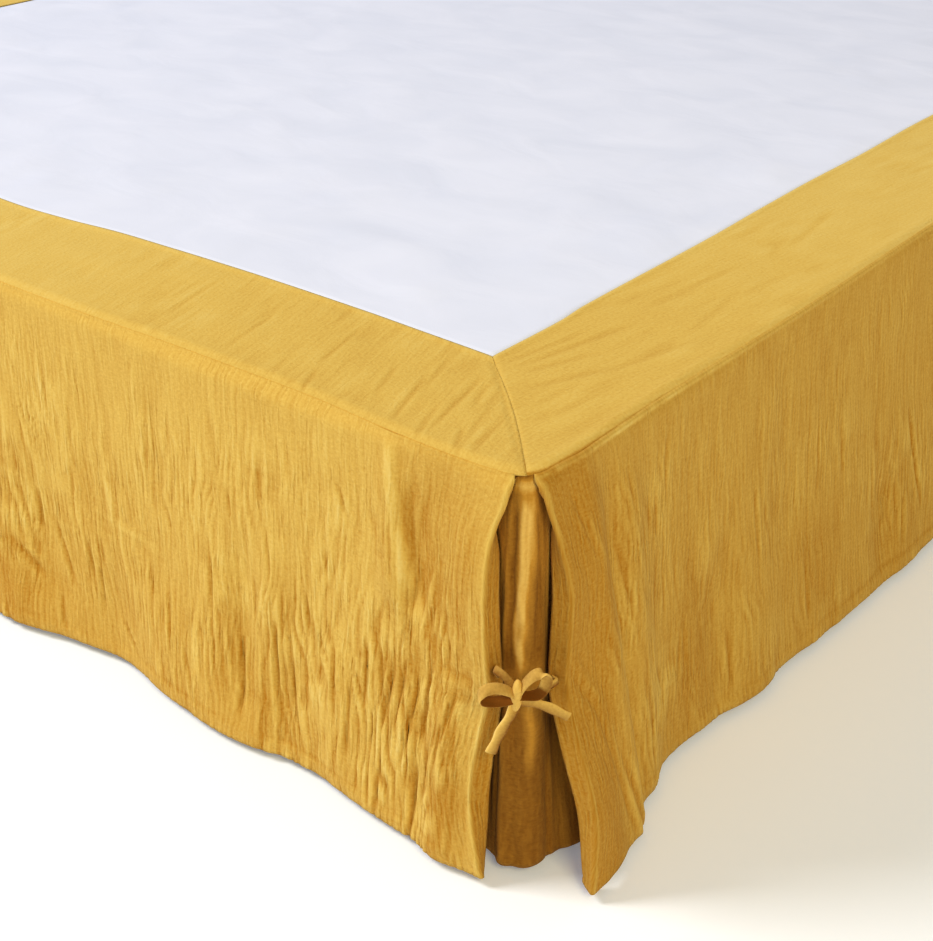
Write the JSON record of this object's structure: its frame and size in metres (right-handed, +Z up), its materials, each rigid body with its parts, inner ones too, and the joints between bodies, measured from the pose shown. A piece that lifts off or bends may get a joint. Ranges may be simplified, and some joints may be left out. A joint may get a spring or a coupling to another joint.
{
  "type": "bed skirt on a bed base",
  "caption": "Fitted bed skirt of crinkled cloth with a white deck, a flat top band, hanging sides, split corners and tied bows, on a plain bed base with legs.",
  "frame": {"origin": "on the floor, under the middle of everything built", "axes": "+X across the bed, -Y towards the foot end, +Y towards the open head end, +Z up; the corner beside +X and -Y is the one with the fuller drape"},
  "size_m": [1.7408, 2.0493, 0.3608],
  "materials": {
    "deck_cotton": "smooth white cotton",
    "mustard_gauze": "crinkled mustard cotton gauze",
    "gauze_tape": "soft folded gauze tape",
    "base_cover": "plain woven base cover",
    "beech": "satin beech"
  },
  "bodies": {
    "root": {"deck": "deck_cotton", "band_foot": "mustard_gauze", "band_left": "mustard_gauze", "band_right": "mustard_gauze", "drop_foot": "mustard_gauze", "drop_left": "mustard_gauze", "drop_right": "mustard_gauze", "insert_left": "mustard_gauze", "insert_right": "mustard_gauze", "tie_left": "gauze_tape", "tie_right": "gauze_tape", "bed_base": "base_cover", "leg_foot_left": "beech", "leg_foot_right": "beech", "leg_middle_left": "beech", "leg_middle_right": "beech", "leg_head_left": "beech", "leg_head_right": "beech"}
  },
  "joints": []
}
